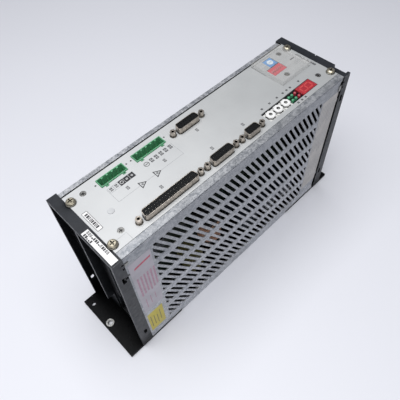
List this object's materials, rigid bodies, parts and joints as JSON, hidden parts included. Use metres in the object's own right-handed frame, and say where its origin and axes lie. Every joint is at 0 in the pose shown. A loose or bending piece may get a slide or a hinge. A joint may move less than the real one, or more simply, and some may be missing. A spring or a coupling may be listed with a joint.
{
  "type": "servo drive",
  "caption": "Narrow cabinet-mounted servo drive with a perforated side cover, drilled end flanges, front connectors, indicator lights and setting switches.",
  "frame": {"origin": "centre of the rear mounting face", "axes": "+Z out of the mounting wall through the front panel, +Y along the length to the top end, +X towards the perforated side cover"},
  "size_m": [0.0828, 0.321, 0.18],
  "materials": {
    "black_enamel": "satin",
    "black_frame": "satin",
    "galvanised_steel": "spangled zinc",
    "panel_white": "satin",
    "yellow_zinc": "zinc plated",
    "washer_metal": "zinc plated",
    "steel": "satin",
    "grey_plastic": "matt",
    "green_plastic": "satin",
    "tinned_pin": "bright",
    "nickel_shell": "nickel plated",
    "black_plastic": "matt",
    "gold_contact": "bright",
    "white_plastic": "satin",
    "knob_plastic": "satin",
    "green_lens": "gloss",
    "red_lens": "gloss",
    "display_red": "gloss",
    "blue_plastic": "satin",
    "rotor_plastic": "satin",
    "red_plastic": "satin",
    "slider_plastic": "satin",
    "clear_plastic": "clear",
    "white_label": "satin",
    "notice_label": "satin",
    "yellow_label": "satin",
    "rating_label": "satin",
    "circuit_board": "solder mask",
    "heat_sink_alloy": "extruded",
    "capacitor_sleeve": "gloss",
    "copper_wire": "enamelled copper",
    "ferrite": "matt",
    "yellow_tape": "tape",
    "relay_case": "gloss",
    "ribbon_grey": "matt",
    "module_case": "matt"
  },
  "bodies": {
    "housing": {"back_plate": "black_enamel", "bottom_end_frame": "black_frame", "top_end_frame": "black_frame", "left_cover": "galvanised_steel", "perforated_side_cover": "galvanised_steel", "front_panel": "panel_white", "panel_corner_screws": "yellow_zinc", "panel_screw_washers": "washer_metal", "panel_countersunk_screws": "steel", "blind_plug": "grey_plastic", "end_frame_screws": "steel", "fixing_bushes": "steel", "cover_clips": "steel", "supply_header": "green_plastic", "motor_header": "green_plastic", "header_pins": "tinned_pin", "io_socket_shell": "nickel_shell", "feedback_socket_shell": "nickel_shell", "serial_socket_shell": "nickel_shell", "encoder_socket_shell": "nickel_shell", "dsub_insulators": "black_plastic", "dsub_contacts": "gold_contact", "dsub_jackscrews": "nickel_shell", "indicator_bezel": "black_plastic", "rotary_switch_bodies": "white_plastic", "green_status_leds": "green_lens", "red_status_leds": "red_lens", "digit_display": "display_red", "coding_switch_body": "blue_plastic", "dip_switch_body": "red_plastic", "trimmer_body": "black_plastic", "clear_switch_cover": "clear_plastic", "white_labels": "white_label", "notice_label": "notice_label", "yellow_label": "yellow_label", "rating_label": "rating_label", "control_board": "circuit_board", "board_spacers": "steel", "power_board": "circuit_board", "heat_sink": "heat_sink_alloy", "power_module": "module_case", "power_module_screws": "steel", "dc_link_capacitors": "capacitor_sleeve", "choke_core": "ferrite", "choke_winding": "copper_wire", "switching_transformer": "yellow_tape", "relays": "relay_case", "ribbon_cable": "ribbon_grey"},
    "rotary_knob_lower": {"rotary_knob_lower": "knob_plastic"},
    "rotary_knob_middle": {"rotary_knob_middle": "knob_plastic"},
    "rotary_knob_upper": {"rotary_knob_upper": "knob_plastic"},
    "dip_slider_1": {"dip_slider_1": "slider_plastic"},
    "dip_slider_2": {"dip_slider_2": "slider_plastic"},
    "dip_slider_3": {"dip_slider_3": "slider_plastic"},
    "dip_slider_4": {"dip_slider_4": "slider_plastic"},
    "dip_slider_5": {"dip_slider_5": "slider_plastic"},
    "dip_slider_6": {"dip_slider_6": "slider_plastic"},
    "coding_switch_rotor": {"coding_switch_rotor": "rotor_plastic"},
    "trimmer_rotor": {"trimmer_rotor": "washer_metal"}
  },
  "joints": [
    {"name": "rotary_knob_lower_turn", "type": "hinge", "parent": "housing", "child": "rotary_knob_lower", "pos_m": [0.0234, 0.0475, 0.174], "axis": [0, 0, 1], "continuous": true},
    {"name": "rotary_knob_middle_turn", "type": "hinge", "parent": "housing", "child": "rotary_knob_middle", "pos_m": [0.0234, 0.0578, 0.174], "axis": [0, 0, 1], "continuous": true},
    {"name": "rotary_knob_upper_turn", "type": "hinge", "parent": "housing", "child": "rotary_knob_upper", "pos_m": [0.0234, 0.0681, 0.174], "axis": [0, 0, 1], "continuous": true},
    {"name": "coding_switch_turn", "type": "hinge", "parent": "housing", "child": "coding_switch_rotor", "pos_m": [-0.0236, 0.1024, 0.173], "axis": [0, 0, 1], "continuous": true},
    {"name": "trimmer_turn", "type": "hinge", "parent": "housing", "child": "trimmer_rotor", "pos_m": [-0.0007, 0.1, 0.17], "axis": [0, 0, 1], "range_deg": [-130, 130]},
    {"name": "dip_slider_1_travel", "type": "slide", "parent": "housing", "child": "dip_slider_1", "axis": [1, 0, 0], "range_m": [0, 0.0016]},
    {"name": "dip_slider_2_travel", "type": "slide", "parent": "housing", "child": "dip_slider_2", "axis": [1, 0, 0], "range_m": [0, 0.0016]},
    {"name": "dip_slider_3_travel", "type": "slide", "parent": "housing", "child": "dip_slider_3", "axis": [1, 0, 0], "range_m": [0, 0.0016]},
    {"name": "dip_slider_4_travel", "type": "slide", "parent": "housing", "child": "dip_slider_4", "axis": [1, 0, 0], "range_m": [0, 0.0016]},
    {"name": "dip_slider_5_travel", "type": "slide", "parent": "housing", "child": "dip_slider_5", "axis": [1, 0, 0], "range_m": [0, 0.0016]},
    {"name": "dip_slider_6_travel", "type": "slide", "parent": "housing", "child": "dip_slider_6", "axis": [1, 0, 0], "range_m": [0, 0.0016]}
  ]
}
